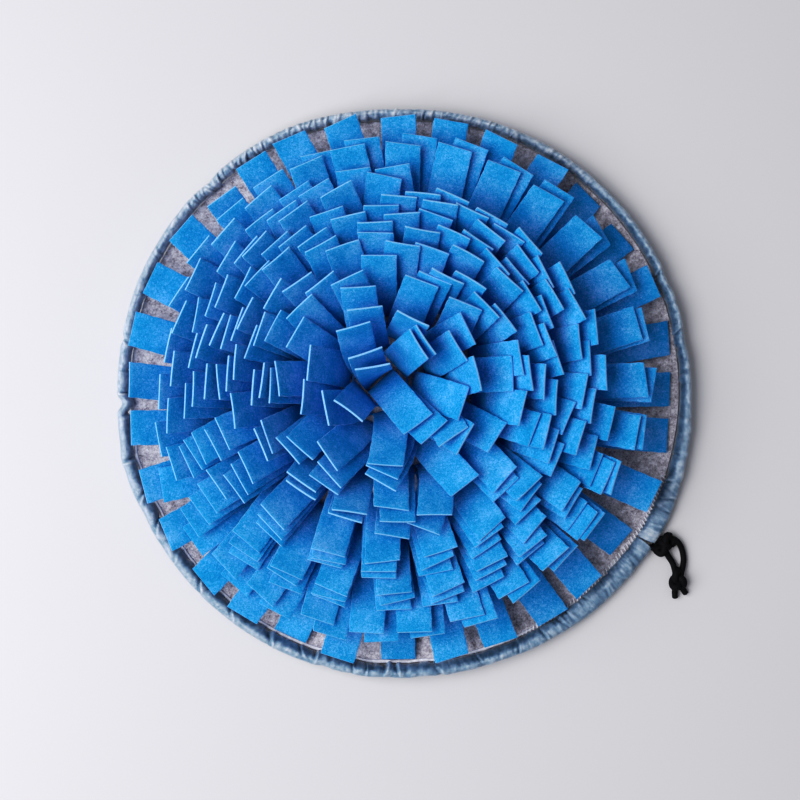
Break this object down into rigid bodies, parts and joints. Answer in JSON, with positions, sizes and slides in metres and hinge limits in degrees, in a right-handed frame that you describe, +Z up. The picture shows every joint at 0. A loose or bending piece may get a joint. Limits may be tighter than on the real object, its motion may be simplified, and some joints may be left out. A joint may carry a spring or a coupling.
{
  "type": "snuffle mat",
  "caption": "Round felt snuffle mat: rings of long cut strips flop outwards into a low dome inside a gathered nylon edge with a knotted drawstring.",
  "frame": {"origin": "middle of the mat's outline, without its drawstring, on the surface that it rests on", "axes": "+Z up, +Y to the top of the overhead picture, +X to its right; the drawstring leaves at about -30 degrees from +X"},
  "size_m": [0.4979, 0.494, 0.088],
  "materials": {
    "blue_felt": "matt pressed felt, pale at the cut edges",
    "grey_felt": "matt melange felt",
    "casing_nylon": "thin nylon with a satin sheen, gathered",
    "black_cord": "matt braid"
  },
  "bodies": {
    "root": {"felt_disc": "grey_felt", "edge_casing": "casing_nylon", "fringe_band_01": "blue_felt", "fringe_band_02": "blue_felt", "fringe_band_03": "blue_felt", "fringe_band_04": "blue_felt", "fringe_band_05": "blue_felt", "fringe_band_06": "blue_felt", "fringe_band_07": "blue_felt", "fringe_band_08": "blue_felt", "fringe_band_09": "blue_felt", "fringe_band_10": "blue_felt", "fringe_band_11": "blue_felt", "fringe_band_12": "blue_felt", "fringe_band_13": "blue_felt", "fringe_band_14": "blue_felt", "fringe_band_15": "blue_felt", "fringe_band_16": "blue_felt", "fringe_band_17": "blue_felt", "fringe_band_18": "blue_felt", "fringe_band_19": "blue_felt", "knot_at_casing": "black_cord", "cord_inner_strand": "black_cord", "cord_outer_strand": "black_cord", "knot_at_end": "black_cord", "cord_inner_tail": "black_cord", "cord_outer_tail": "black_cord"}
  },
  "joints": []
}
